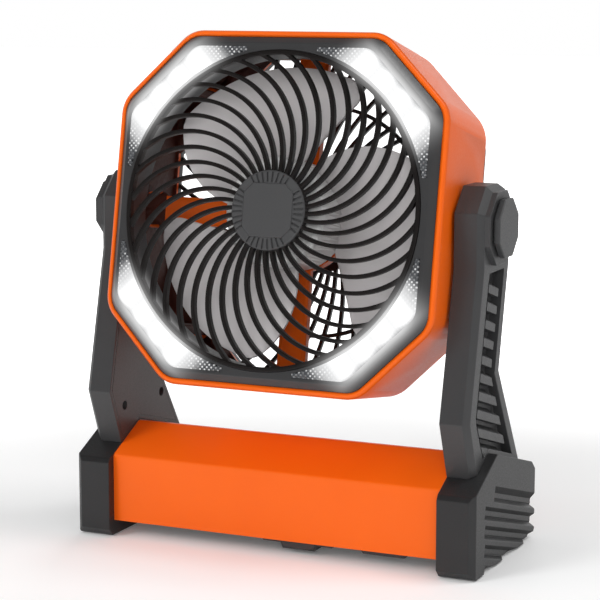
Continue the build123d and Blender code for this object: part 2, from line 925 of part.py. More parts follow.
def spokes():
    start = cup_radius - cup_rim
    end = head_rear_half - shell_wall / 2
    face = outline([(start, -spoke_root / 2), (end, -spoke_tip / 2),
                    (end, spoke_tip / 2), (start, spoke_root / 2)])
    return around(slab(face, -spoke_back, spoke_front), spoke_count)


def motor_cup():
    body = rod(cup_radius, -spoke_back, cup_top)
    body += tube(cup_radius, cup_radius - cup_rim, -spoke_back, cup_height - spoke_back)
    body -= rod(bearing_outer_radius, -spoke_back - cut_over, cup_top + cut_over)
    return body - motor_screw_holes(screw_radius + fit_gap)


def side_bosses(radius, start, end):
    boss = Rot(0, 90, 0) * rod(radius, start, end)
    return [boss, mirrored(boss)]


def rear_opening(low, high):
    return slab(octagon(rear_opening_half, rear_opening_cut), low, high)


def light_ledges():
    top = led_board_front - led_board_thickness
    inner = bezel_half - 2 * shell_wall - led_ledge_overlap
    ledge = block((led_ledge_place - led_ledge_width / 2, inner, top - led_ledge_depth),
                  (led_ledge_place + led_ledge_width / 2, head_rear_half - shell_wall / 2, top))
    return around(ledge, spoke_count) + around(mirrored(ledge), spoke_count)


def head_shell():
    rear = rounded_octagon(head_rear_half, head_rear_cut, head_rear_round)
    front = rounded_octagon(head_half, head_cut, head_round)
    body = loft([Pos(0, 0, -shell_back) * rear, Pos(0, 0, rim_reach) * front], ruled=True)
    rim = body.edges().group_by(Axis.Z)[-1]
    body = chamfer(rim, rim_round)
    body -= shell_cavity()
    corners = corner_places(corner_post_reach, 0)
    guard_corners = corner_places(corner_post_reach, guard_post_angle)
    post_top = guard_post_height - shell_back
    body += posts(corners, corner_post_radius, -shell_back, corner_post_front)
    body += posts(guard_corners, corner_post_radius, -shell_back, post_top)
    body -= rear_opening(-shell_back - cut_over, shell_wall - shell_back + cut_over)
    body += light_ledges() + spokes()
    body += side_bosses(head_boss_radius, boss_start, head_side)
    body -= side_bosses(pin_radius + fit_gap / 2, head_side - pin_inset, head_side + cut_over)
    body -= rod(cup_radius - cup_rim, -shell_back, rim_reach)
    body += motor_cup()
    hole = screw_radius + fit_gap
    body -= posts(corners, hole, -shell_back - cut_over, corner_post_front + cut_over)
    head_pocket = screw_head_radius + fit_gap
    pocket_floor = corner_post_front - bezel_screw_length() / 2
    body -= posts(corners, head_pocket, -shell_back - cut_over, pocket_floor)
    body -= posts(guard_corners, hole, -shell_back - cut_over, post_top + cut_over)
    return body


# Bezel with four corner lights, and the front grille

def bezel_screw_length():
    return bezel_seat * 2


def lens_outline(margin):
    wide = rounded_octagon(lens_half + margin, lens_cut + margin * (2 - sqrt(2)), lens_round + margin)
    band = wide - Circle(lens_radius - margin)
    start = lens_tip - margin
    end = head_half
    corner = outline([(start, start), (end, start), (end, end), (start, end)])
    return band & corner


def corner_lens():
    front_low = face_reach - bezel_plate
    body = slab(lens_outline(0), front_low, lens_front)
    return body + slab(lens_outline(lens_flange), front_low - lens_flange_thickness, front_low)


def corner_lenses():
    names = ("top_right", "top_left", "bottom_left", "bottom_right")
    return {"led_lens_" + name: Rot(0, 0, 90 * i) * corner_lens() for i, name in enumerate(names)}


def front_bezel():
    plate_back = face_reach - bezel_plate
    plate = rounded_octagon(bezel_half, bezel_cut, bezel_round)
    body = slab(plate, rim_reach - bezel_seat, face_reach)
    rim = body.edges().group_by(Axis.Z)[-1]
    body = chamfer(rim, bezel_rise - fit_gap)
    inside_cut = bezel_cut - shell_wall * (2 - sqrt(2))
    inside = rounded_octagon(bezel_half - shell_wall, inside_cut, bezel_round - shell_wall)
    body -= slab(inside, rim_reach - bezel_seat - cut_over, plate_back)
    body += tube(duct_radius + duct_wall, duct_radius, duct_back, face_reach)
    body -= rod(ring_radius + fit_gap, grille_back - fit_gap, face_reach + cut_over)
    body -= rod(duct_radius, duct_back, face_reach + cut_over)
    window = slab(lens_outline(fit_gap), plate_back - cut_over, face_reach + cut_over)
    body -= around(window, spoke_count)
    corners = corner_places(corner_post_reach, 0)
    bosses = posts(corners, corner_post_radius, corner_post_front, led_board_front)
    hole = screw_radius + fit_gap
    bridge = block((-corner_post_radius, duct_radius + duct_wall / 2, corner_post_front),
                   (corner_post_radius, corner_post_reach, led_board_front))
    body += around(bridge, spoke_count, corner_angle) + bosses
    body -= posts(corners, hole, corner_post_front - cut_over, led_board_front + cut_over)
    return body


def bezel_screws():
    floor = corner_post_front - bezel_screw_length() / 2
    screw = rod(screw_head_radius, floor - screw_head_height, floor)
    screw += rod(screw_radius, floor, led_board_front - fit_gap)
    return group([Pos(x, y) * screw for x, y in corner_places(corner_post_reach, 0)])


def rib(width, inner, middle, outer, low, high):
    line = ThreePointArc(polar(*inner), polar(*middle), polar(*outer))
    return slab(trace(line, line_width=width), low, high)


def hub_slots():
    step = hub_slot_fan_angle / (hub_slot_count - 1)
    start = hub_plate_half + hub_edge
    end = hub_radius - hub_edge
    face = Pos((start + end) / 2, 0) * Rectangle(end - start, hub_slot_width)
    cut = slab(face, hub_front - hub_slot_depth, hub_front + cut_over)
    cuts = []
    for quarter in range(4):
        for i in range(hub_slot_count):
            cuts.append(Rot(0, 0, 90 * quarter - hub_slot_fan_angle / 2 + i * step) * cut)
    return cuts


def front_grille():
    body = tube(ring_radius, ring_radius - ring_width, grille_back, grille_front)
    hub = rod(hub_radius, grille_back, hub_front)
    hub = chamfer(hub.edges().group_by(Axis.Z)[-1], hub_edge)
    bar = rib(rib_width, (hub_radius - hub_edge * 2, 0), (rib_mid_radius, rib_mid_angle),
              (ring_radius - ring_width / 2, rib_tip_angle), grille_back, grille_front - hub_edge / 2)
    body += [hub - hub_slots()] + around(bar, rib_count, rib_first_angle)
    return body


def hub_plate():
    face = octagon(hub_plate_half, hub_plate_cut)
    body = slab(face, hub_front, hub_front + hub_plate_rise)
    return chamfer(body.edges().group_by(Axis.Z)[-1], hub_plate_edge)


def led_board():
    wide = rounded_octagon(bezel_half - shell_wall * 2, bezel_cut - shell_wall, bezel_round - shell_wall)
    start = polar(led_board_inner_radius, corner_angle - led_board_angle)[1]
    end = head_half
    corner = outline([(start, start), (end, start), (end, end), (start, end)])
    face = (wide - Circle(led_board_inner_radius)) & corner
    post = corner_post_radius + slide_gap
    slot_place = corner_post_reach - led_board_inner_radius / 2
    slot = Pos(slot_place, 0) * Rectangle(led_board_inner_radius, 2 * post)
    face -= Rot(0, 0, corner_angle) * (Pos(corner_post_reach, 0) * Circle(post) + slot)
    return slab(face, led_board_front - led_board_thickness, led_board_front)


def led_boards():
    return group(around(led_board(), spoke_count))


def leds():
    half = led_size / 2
    chip = block((led_reach - half, -half, led_board_front),
                 (led_reach + half, half, led_board_front + led_height))
    chips = []
    for i in range(led_count):
        turn = (i - (led_count - 1) / 2) * led_spread_angle
        chips += around(chip, spoke_count, corner_angle + turn)
    return group(chips)


# Rear guard with ribs of the opposite hand

def rear_guard():
    cut = head_rear_cut + guard_corner_inset
    face = rounded_octagon(head_rear_half - guard_inset, cut, head_rear_round)
    plate = slab(face, guard_back, -shell_back)
    body = chamfer(plate.edges().group_by(Axis.Z)[0], guard_edge)
    body -= rear_opening(guard_back - cut_over, -shell_back + cut_over)
    rib_top = guard_back + guard_rib_depth
    bar = rib(guard_rib_width, (guard_disc_radius - guard_rib_width, 0), (guard_mid_radius, guard_mid_angle),
              (guard_tip_radius, guard_tip_angle), guard_back, rib_top)
    room = rear_opening(guard_back, -shell_back)
    body += [piece & room for piece in around(bar, guard_rib_count)]
    half_ring = guard_rib_width / 2
    body += tube(guard_ring_radius + half_ring, guard_ring_radius - half_ring, guard_back, rib_top)
    body += rod(guard_disc_radius, guard_back, rib_top)
    places = corner_places(corner_post_reach, guard_post_angle)
    body -= posts(places, screw_radius + fit_gap, guard_back - cut_over, 0)
    sink = guard_back + screw_head_height
    body -= posts(places, screw_head_radius + fit_gap, guard_back - cut_over, sink)
    return body


def rear_guard_screws():
    end = guard_post_height - shell_back - 2 * fit_gap
    screw = rod(screw_head_radius, guard_back, guard_back + screw_head_height)
    screw += rod(screw_radius, guard_back + screw_head_height, end)
    return group([Pos(x, y) * screw for x, y in corner_places(corner_post_reach, guard_post_angle)])


# Motor: fixed coils inside, turning magnet ring and impeller outside

def motor_screw_places():
    turns = [360 / motor_screw_count * i + corner_angle for i in range(motor_screw_count)]
    return [polar(motor_screw_reach, turn) for turn in turns]


def motor_screw_holes(radius):
    return posts(motor_screw_places(), radius, -shell_back, sleeve_front)


def motor_base():
    top = cup_top + motor_base_thickness
    body = rod(motor_base_radius, cup_top, top) + rod(sleeve_radius, cup_top, sleeve_front)
    body -= rod(bearing_outer_radius, cup_top - cut_over, sleeve_front + cut_over)
    return body - posts(motor_screw_places(), screw_radius + fit_gap, cup_top - cut_over, top + cut_over)


def motor_screws():
    screw = rod(screw_head_radius, -spoke_back - screw_head_height, -spoke_back)
    screw += rod(screw_radius, -spoke_back, cup_top + motor_base_thickness)
    return group([Pos(x, y) * screw for x, y in motor_screw_places()])


def motor_bearings():
    starts = (bearing_rear_start, bearing_front_start)
    inner = shaft_radius + run_gap
    outer = bearing_outer_radius - fit_gap / 2
    return group([tube(outer, inner, start, start + bearing_width) for start in starts])


def tooth(margin):
    half = tooth_width / 2 + margin
    end = stator_radius - fit_gap
    return outline([(sleeve_radius, -half), (end, -half), (end, half),
                    (sleeve_radius, half)])


def stator_core():
    head = Circle(stator_radius) - Circle(stator_radius - tooth_head)
    far = stator_radius / cos(radians(tooth_head_angle / 2))
    wedge = outline([(0, 0), polar(far, -tooth_head_angle / 2), polar(far, tooth_head_angle / 2)])
    face = Circle(stator_core_radius) + around(tooth(0), stator_teeth) + around(head & wedge, stator_teeth)
    face -= Circle(sleeve_radius + fit_gap / 2)
    return slab(face, stator_back, stator_front)


def stator_windings():
    wide = winding_width / 2
    narrow = wide * winding_inner_radius / winding_outer_radius
    outside = outline([(winding_inner_radius, -narrow), (winding_outer_radius, -wide),
                       (winding_outer_radius, wide), (winding_inner_radius, narrow)])
    coil = slab(outside, stator_back - winding_overhang, stator_front + winding_overhang)
    coil -= slab(tooth(fit_gap), stator_back - fit_gap, stator_front + fit_gap)
    return group(around(coil, stator_teeth))


def rotor_magnet():
    return tube(magnet_outer_radius, magnet_inner_radius, magnet_back, magnet_front)


def rotor_yoke():
    body = tube(yoke_radius, magnet_outer_radius + fit_gap / 2, magnet_back, yoke_front)
    return body + tube(yoke_radius, yoke_hole_radius, yoke_front - yoke_disc, yoke_front)


def rotor_shaft():
    return rod(shaft_radius, -shaft_back, shaft_front)


def shaft_clip():
    start = bearing_rear_start - slide_gap - clip_thickness
    return tube(clip_radius, shaft_radius, start, start + clip_thickness)


def blade_petal():
    inner = blade_root_radius
    lead = ThreePointArc(polar(inner, petal_lead_root_angle), polar(petal_mid_radius, petal_lead_mid_angle),
                         polar(blade_tip_radius, petal_lead_tip_angle))
    tip_mid = (petal_lead_tip_angle + petal_trail_tip_angle) / 2
    tip = ThreePointArc(polar(blade_tip_radius, petal_lead_tip_angle), polar(blade_tip_radius, tip_mid),
                        polar(blade_tip_radius, petal_trail_tip_angle))
    trail = ThreePointArc(polar(blade_tip_radius, petal_trail_tip_angle),
                          polar(petal_mid_radius, petal_trail_mid_angle),
                          polar(inner, petal_trail_root_angle))
    root_mid = (petal_lead_root_angle + petal_trail_root_angle) / 2
    root = ThreePointArc(polar(inner, petal_trail_root_angle), polar(inner, root_mid),
                         polar(inner, petal_lead_root_angle))
    face = make_face([lead, tip, trail, root])
    corners = face.vertices().sort_by(lambda v: -sqrt(v.X ** 2 + v.Y ** 2))[:2].sort_by(Axis.X)
    face = fillet(corners[0], petal_trail_round)
    lead_corner = face.vertices().sort_by(lambda v: -sqrt(v.X ** 2 + v.Y ** 2)).sort_by(Axis.X)[-1]
    return fillet(lead_corner, petal_lead_round)


def helix_edge(radius, start, end, back, front):
    turn = (end - start) / 360
    rise = front - back
    return Pos(0, 0, back) * Rot(0, 0, start) * Edge.make_helix(rise / turn, rise, radius)


def blade():
    root = helix_edge(blade_root_radius, blade_root_start_angle, blade_root_end_angle,
                      blade_back, blade_root_front)
    tip = helix_edge(blade_tip_radius + blade_tip_over, blade_tip_start_angle, blade_tip_end_angle,
                     blade_back, blade_tip_front)
    sheet = thicken(Face.make_surface_from_curves(root, tip), blade_thickness)
    return sheet & slab(blade_petal(), -shell_back, rim_reach)


def impeller():
    body = rod(rotor_hub_radius, rotor_hub_back, rotor_hub_front)
    body = chamfer(body.edges().group_by(Axis.Z)[-1], rotor_hub_round)
    body -= rod(yoke_radius + fit_gap / 2, rotor_hub_back - cut_over, yoke_front)
    cavity = rotor_hub_front - rotor_hub_face
    body -= tube(yoke_radius - rotor_hub_face, rotor_boss_radius, yoke_front, cavity)
    body -= rod(yoke_hole_radius - fit_gap, yoke_front - cut_over, yoke_front)
    body += around(blade(), blade_count)
    return body - rod(shaft_radius, rotor_hub_back, shaft_front)


def stand_pieces():
    right = {"foot": right_foot(), "arm": right_arm(), "arm_cover": right_arm_cover(),
             "pivot_cap": right_pivot_cap()}
    pieces = {}
    for name, shape in right.items():
        pieces["right_" + name] = shape
        pieces["left_" + name] = mirrored(shape)
    pieces["foot_pads"] = foot_pads()
    pieces["foot_screws"] = foot_screws()
    pieces["arm_screws"] = arm_screws()
    pieces["spring_washers"] = spring_washers()
    pieces["friction_washers"] = friction_washers()
    pieces["base_housing"] = base_housing()
    pieces["base_bottom_cover"] = base_bottom_cover()
    pieces["base_cover_screws"] = base_cover_screws()
    pieces["battery_tray"] = battery_tray()
    pieces["battery_cells"] = battery_cells()
    pieces["main_board"] = main_board()
    pieces["tact_switches"] = tact_switches()
    pieces["indicator_window"] = indicator_window()
    pieces["usb_a_port"] = usb_a_port()
    pieces["usb_c_port"] = usb_c_port()
    pieces["port_flap"] = port_flap()
    for name, x in button_places.items():
        pieces[name] = push_button(x)
    return pieces


def head_pieces():
    pieces = {"head_shell": head_shell(), "front_bezel": front_bezel(), "front_grille": front_grille(),
              "grille_hub_plate": hub_plate(), "led_boards": led_boards(), "leds": leds(),
              "bezel_screws": bezel_screws(), "rear_guard": rear_guard(),
              "rear_guard_screws": rear_guard_screws(),
              "motor_base": motor_base(), "motor_screws": motor_screws(), "motor_bearings": motor_bearings(),
              "stator_core": stator_core(), "stator_windings": stator_windings(),
              "rotor_magnet": rotor_magnet(),
              "rotor_yoke": rotor_yoke(), "rotor_shaft": rotor_shaft(), "shaft_clip": shaft_clip(),
              "impeller": impeller()}
    pieces.update(corner_lenses())
    return pieces


def tilted_pieces():
    stance = Pos(0, pivot_setback, pivot_height) * Rot(90 - head_tilt_angle, 0, 0)
    pieces = {name: stance * shape for name, shape in head_pieces().items()}
    pivot = Pos(0, pivot_setback, pivot_height)
    swing = pivot * Rot(-head_tilt_angle, 0, 0) * Pos(0, -pivot_setback, -pivot_height)
    pieces["right_pivot_pin"] = swing * right_pivot_pin()
    pieces["left_pivot_pin"] = mirrored(pieces["right_pivot_pin"])
    pieces["pivot_nuts"] = swing * pivot_nuts()
    return pieces


def main():
    pieces = stand_pieces()
    pieces.update(tilted_pieces())
    boxes = [shape.bounding_box() for shape in pieces.values()]
    middle = (min(b.min.Y for b in boxes) + max(b.max.Y for b in boxes)) / 2
    os.makedirs("parts", exist_ok=True)
    for name, shape in pieces.items():
        export_step(Pos(0, -middle, 0) * shape, "parts/" + name + ".step")
    setback, height = flap_axis()
    print("tilt axis", 0, pivot_setback - middle, pivot_height)
    print("flap axis", flap_place, setback - middle, height)
    print("pieces", len(pieces))


main()
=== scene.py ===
import json
from math import pi, radians, sqrt

import bpy
from mathutils import Matrix, Vector

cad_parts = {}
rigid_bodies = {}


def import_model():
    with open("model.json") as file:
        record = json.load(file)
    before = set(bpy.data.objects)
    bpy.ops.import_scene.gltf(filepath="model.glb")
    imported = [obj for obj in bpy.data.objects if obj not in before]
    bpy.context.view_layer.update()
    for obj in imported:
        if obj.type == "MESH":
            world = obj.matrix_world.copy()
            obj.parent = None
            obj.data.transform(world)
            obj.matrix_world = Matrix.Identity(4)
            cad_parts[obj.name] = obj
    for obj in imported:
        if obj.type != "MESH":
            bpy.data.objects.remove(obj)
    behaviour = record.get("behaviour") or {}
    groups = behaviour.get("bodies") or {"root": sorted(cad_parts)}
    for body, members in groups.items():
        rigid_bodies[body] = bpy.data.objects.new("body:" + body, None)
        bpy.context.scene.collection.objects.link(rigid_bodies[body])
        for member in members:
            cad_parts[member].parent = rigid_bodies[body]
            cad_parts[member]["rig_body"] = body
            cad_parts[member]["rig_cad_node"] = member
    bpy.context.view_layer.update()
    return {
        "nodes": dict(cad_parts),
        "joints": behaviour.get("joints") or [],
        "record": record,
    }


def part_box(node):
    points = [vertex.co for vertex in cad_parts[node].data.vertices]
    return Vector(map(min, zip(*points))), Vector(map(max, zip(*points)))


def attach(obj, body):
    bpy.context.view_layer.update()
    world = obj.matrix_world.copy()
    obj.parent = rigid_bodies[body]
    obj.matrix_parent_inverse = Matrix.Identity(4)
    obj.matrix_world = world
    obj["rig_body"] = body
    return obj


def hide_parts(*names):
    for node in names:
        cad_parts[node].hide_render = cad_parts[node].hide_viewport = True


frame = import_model()
nodes = frame["nodes"]
joints = {joint["name"]: joint for joint in frame["joints"]}
bodyOf = {name: body for body, names in frame["record"]["behaviour"]["bodies"].items() for name in names}
slotOf = {part["node"]: part["material_slot"] for part in frame["record"]["subparts"]}
pivot = Vector(joints["head_tilt"]["pos_m"])
mm = 0.001
diagonal = sqrt(0.5)
headLean = 11.0                      # degrees that the head leans at rest
headTurn = radians(90 - headLean)    # turns the flat head plane up to where it stands
headPlace = Matrix.Translation(pivot) @ Matrix.Rotation(headTurn, 4, "X")
toHead = headPlace.inverted()
print("frame loaded", len(nodes), "nodes")


# sRGB hex to linear colour
def linear(hexText):
    parts = [int(hexText[i:i + 2], 16) / 255 for i in (1, 3, 5)]
    return tuple(c / 12.92 if c <= 0.04045 else ((c + 0.055) / 1.055) ** 2.4 for c in parts) + (1.0,)


# Adds a node: an input that is another node's output is linked, any other is set
def addNode(tree, kind, settings=None, inputs=None):
    made = tree.nodes.new(kind)
    for name, value in (settings or {}).items():
        setattr(made, name, value)
    for name, value in (inputs or {}).items():
        if isinstance(value, bpy.types.NodeSocket):
            tree.links.new(value, made.inputs[name])
        else:
            made.inputs[name].default_value = value
    return made


def newMaterial(name, values):
    material = bpy.data.materials.new(name)
    material.use_nodes = True
    tree = material.node_tree
    shader = tree.nodes["Principled BSDF"]
    for socket, value in values.items():
        shader.inputs[socket].default_value = value
    return material, tree, shader


# Two tones wandering into each other, a roughness that varies with a fine grain, and the grain as bump.
# A real moulded or plated grain is about 0.1 mm and too fine to show, so it is drawn coarser
grainBase = {"grainDetail": 3.0, "cloudDetail": 2.0, "low": 0.3, "high": 0.7, "deepMm": 0.1}
white = (1, 1, 1, 1)
eased = {"interpolation_type": "SMOOTHSTEP"}
times = {"operation": "MULTIPLY"}


def grainedMaterial(name, look, values):
    material, tree, shader = newMaterial(name, values)
    place = addNode(tree, "ShaderNodeTexCoord").outputs["Object"]
    grain = addNode(tree, "ShaderNodeTexNoise", {}, {
        "Vector": place, "Scale": 1 / (look["grainMm"] * mm),
        "Detail": grainBase["grainDetail"]}).outputs["Fac"]
    cloud = addNode(tree, "ShaderNodeTexNoise", {}, {
        "Vector": place, "Scale": 1 / (look["cloudMm"] * mm),
        "Detail": grainBase["cloudDetail"]}).outputs["Fac"]
    tone = addNode(tree, "ShaderNodeMix", {"data_type": "RGBA"}, {
        0: cloud, 6: linear(look["shade"]), 7: linear(look["colour"])}).outputs[2]
    tree.links.new(tone, shader.inputs["Base Color"])
    gloss = addNode(tree, "ShaderNodeMapRange", {}, {
        "Value": grain, "From Min": grainBase["low"], "From Max": grainBase["high"],
        "To Min": look["roughness"] - look["spread"], "To Max": look["roughness"] + look["spread"]})
    tree.links.new(gloss.outputs["Result"], shader.inputs["Roughness"])
    bump = addNode(tree, "ShaderNodeBump", {}, {
        "Height": grain, "Strength": look["bump"], "Distance": grainBase["deepMm"] * mm})
    tree.links.new(bump.outputs["Normal"], shader.inputs["Normal"])
    return material, tree, shader


# Injection-moulded ABS: satin on the orange pieces, finely sparked on the dark ones. Inside the shell the
# orange is matt and painted dark brown as painted shade
orangeLook = {"colour": "#F0660F", "shade": "#EA5F0B", "grainMm": 1.1, "cloudMm": 40.0,
              "roughness": 0.36, "spread": 0.05, "bump": 0.10}
charcoalLook = {"colour": "#3C3C3D", "shade": "#363637", "grainMm": 0.9, "cloudMm": 25.0,
                "roughness": 0.46, "spread": 0.08, "bump": 0.25}
blackLook = {"colour": "#19191A", "shade": "#151516", "grainMm": 0.9, "cloudMm": 25.0,
             "roughness": 0.40, "spread": 0.06, "bump": 0.16}
hubLook = {"colour": "#444445", "shade": "#404041", "grainMm": 0.7, "cloudMm": 25.0,
           "roughness": 0.55, "spread": 0.06, "bump": 0.20}
whiteCapLook = {"colour": "#FBFAF9", "shade": "#F4F3F2", "grainMm": 1.0, "cloudMm": 12.0,
                "roughness": 0.35, "spread": 0.05, "bump": 0.05}
# Painted shade: a dark brown given to the inside of the orange shell in place of the shade that falls there
insideShadeLook = {"colour": "#4E2013", "shade": "#401A10", "grainMm": 1.4, "cloudMm": 30.0,
             "roughness": 0.62, "spread": 0.06, "bump": 0.30}
footLook = dict(charcoalLook, colour="#262627", shade="#212122")    # a little darker than the arms
# Painted shade: near-black for the groove flanks of the feet that face down
grooveShadeLook = dict(charcoalLook, colour="#111112", shade="#0D0D0E", roughness=0.75)
plasticBody = {"IOR": 1.53}
orangeBody = {"IOR": 1.53, "Specular IOR Level": 0.27}    # the orange shines less than the dark pieces
orangeAbs = grainedMaterial("orange moulded ABS", orangeLook, orangeBody)[0]
insideShadeAbs = grainedMaterial("orange ABS with painted shade inside the shell", insideShadeLook, plasticBody)[0]
charcoalAbs = grainedMaterial("charcoal moulded ABS", charcoalLook, plasticBody)[0]
blackAbs = grainedMaterial("black moulded ABS", blackLook, plasticBody)[0]
hubAbs = grainedMaterial("grey moulded ABS", hubLook, plasticBody)[0]
whiteAbs = grainedMaterial("white moulded ABS", whiteCapLook, plasticBody)[0]
footAbs = grainedMaterial("charcoal moulded ABS of the feet", footLook, plasticBody)[0]
grooveShadeAbs = grainedMaterial("charcoal ABS with painted shade in the grooves", grooveShadeLook, plasticBody)[0]

# Smoke grey polypropylene of the impeller, moulded with a soft shine
smokeLook = {"colour": "#DCD8D8", "shade": "#CFCACB", "grainMm": 1.6, "cloudMm": 30.0,
             "roughness": 0.34, "spread": 0.05, "bump": 0.06}
smokePlastic = grainedMaterial("smoke grey polypropylene", smokeLook, {"IOR": 1.49})[0]

# Metals: cloudy zinc plate, dull stacked core, bright nickel, near-matt black oxide, shiny enamelled copper
zincLook = {"colour": "#B4B6B8", "shade": "#9DA0A3", "grainMm": 0.7, "cloudMm": 4.0,
            "roughness": 0.34, "spread": 0.08, "bump": 0.10}
coreLook = {"colour": "#8C8E92", "shade": "#74767A", "grainMm": 0.5, "cloudMm": 5.0,
            "roughness": 0.42, "spread": 0.08, "bump": 0.15}
portLook = {"colour": "#D2D3D6", "shade": "#BFC1C4", "grainMm": 0.4, "cloudMm": 3.0,
            "roughness": 0.22, "spread": 0.05, "bump": 0.05}
copperLook = {"colour": "#C8743F", "shade": "#A85A2E", "grainMm": 0.45, "cloudMm": 3.0,
              "roughness": 0.32, "spread": 0.06, "bump": 0.6}
blackSteelLook = dict(zincLook, colour="#2B2B2D", shade="#222224", roughness=0.5)
metalBody = {"Metallic": 1.0}
zincSteel = grainedMaterial("zinc plated steel", zincLook, metalBody)[0]
coreSteel = grainedMaterial("stacked core steel", coreLook, metalBody)[0]
portSteel = grainedMaterial("nickel plated port shell", portLook, metalBody)[0]
blackSteel = grainedMaterial("black oxide steel", blackSteelLook, metalBody)[0]
copperWire = grainedMaterial("enamelled copper wire", copperLook, metalBody)[0]

# Small parts: pressed ferrite and rubber are dull, solder mask and shrink film have a clean low shine
ferriteLook = {"colour": "#3A3A3C", "shade": "#303032", "grainMm": 0.4, "cloudMm": 3.0,
               "roughness": 0.55, "spread": 0.1, "bump": 0.4}
rubberLook = {"colour": "#232323", "shade": "#1A1A1A", "grainMm": 0.5, "cloudMm": 8.0,
              "roughness": 0.78, "spread": 0.08, "bump": 0.5}
greenLook = {"colour": "#1E6A42", "shade": "#185536", "grainMm": 1.5, "cloudMm": 3.0,
             "roughness": 0.36, "spread": 0.06, "bump": 0.2}
whiteLook = {"colour": "#E9E8E2", "shade": "#DCDBD3", "grainMm": 1.5, "cloudMm": 4.0,
             "roughness": 0.4, "spread": 0.06, "bump": 0.2}
wrapLook = {"colour": "#2C6C9C", "shade": "#25608C", "grainMm": 2.0, "cloudMm": 9.0,
            "roughness": 0.3, "spread": 0.06, "bump": 0.15}
frostLook = {"colour": "#EDF1F2", "shade": "#E1E6E8", "grainMm": 0.3, "cloudMm": 6.0,
             "roughness": 0.45, "spread": 0.05, "bump": 0.2}
chipLook = {"colour": "#F6EFC8", "shade": "#EFE4A8", "grainMm": 0.8, "cloudMm": 3.0,
            "roughness": 0.4, "spread": 0.05, "bump": 0.1}
frostBody = {"IOR": 1.58, "Transmission Weight": 0.5}
chipBody = {"Emission Color": white, "Emission Strength": 2.0}
ferrite = grainedMaterial("pressed ferrite", ferriteLook, {})[0]
rubberBlack = grainedMaterial("black rubber", rubberLook, {"IOR": 1.52})[0]
boardGreen = grainedMaterial("green solder mask", greenLook, {"IOR": 1.55})[0]
boardWhite = grainedMaterial("white solder mask", whiteLook, {"IOR": 1.55})[0]
cellWrap = grainedMaterial("blue shrink film", wrapLook, {"IOR": 1.5})[0]
frostedPane = grainedMaterial("frosted polycarbonate", frostLook, frostBody)[0]
lightChip = grainedMaterial("phosphor light chip", chipLook, chipBody)[0]


# Places in millimetres on the flat head plane, folded onto one corner of the head
def cornerPlaces(tree):
    place = addNode(tree, "ShaderNodeTexCoord").outputs["Object"]
    flat = addNode(tree, "ShaderNodeMapping", {"vector_type": "TEXTURE"}, {
        "Vector": place, "Location": pivot, "Rotation": (headTurn, 0, 0),
        "Scale": (mm, mm, mm)}).outputs["Vector"]
    folded = addNode(tree, "ShaderNodeVectorMath", {"operation": "ABSOLUTE"}, {0: flat}).outputs["Vector"]
    level = addNode(tree, "ShaderNodeVectorMath", times, {0: folded, 1: (1, 1, 0)}).outputs["Vector"]
    ways = {"along": (folded, (diagonal, -diagonal, 0)), "outward": (folded, (diagonal, diagonal, 0)),
            "across": (folded, (1, 0, 0)), "up": (folded, (0, 1, 0)), "forward": (flat, (0, 0, 1))}
    places = {}
    for name, (spot, way) in ways.items():
        places[name] = addNode(tree, "ShaderNodeVectorMath", {"operation": "DOT_PRODUCT"},
                               {0: spot, 1: way}).outputs["Value"]
    places["radius"] = addNode(tree, "ShaderNodeVectorMath", {"operation": "LENGTH"},
                               {0: level}).outputs["Value"]
    places["aside"] = addNode(tree, "ShaderNodeMath", {"operation": "ABSOLUTE"},
                              {0: places["along"]}).outputs["Value"]
    return places


# Polycarbonate lens moulded with small diamonds and lit from behind: one white glow in the middle,
# single bright diamonds on grey towards its thin ends
glow = {"grey": "#4A4C4F", "roughness": 0.18, "strength": 1.25,
        "solidMm": 25.0, "fadeMm": 41.0, "tipMm": 51.0, "tip": 0.15,
        "outerMm": 98.5, "edgeMm": 103.5, "edge": 0.25, "chipPitchMm": 14.6, "betweenChips": 0.72,
        "prismMm": 2.8, "prismStrength": 0.75, "prismLow": 0.1, "prismHigh": 0.8,
        "prismBump": 0.8, "prismDeepMm": 0.5,
        "patchMm": 5.0, "patchLow": 0.38, "patchHigh": 0.62, "patchDim": 0.1}


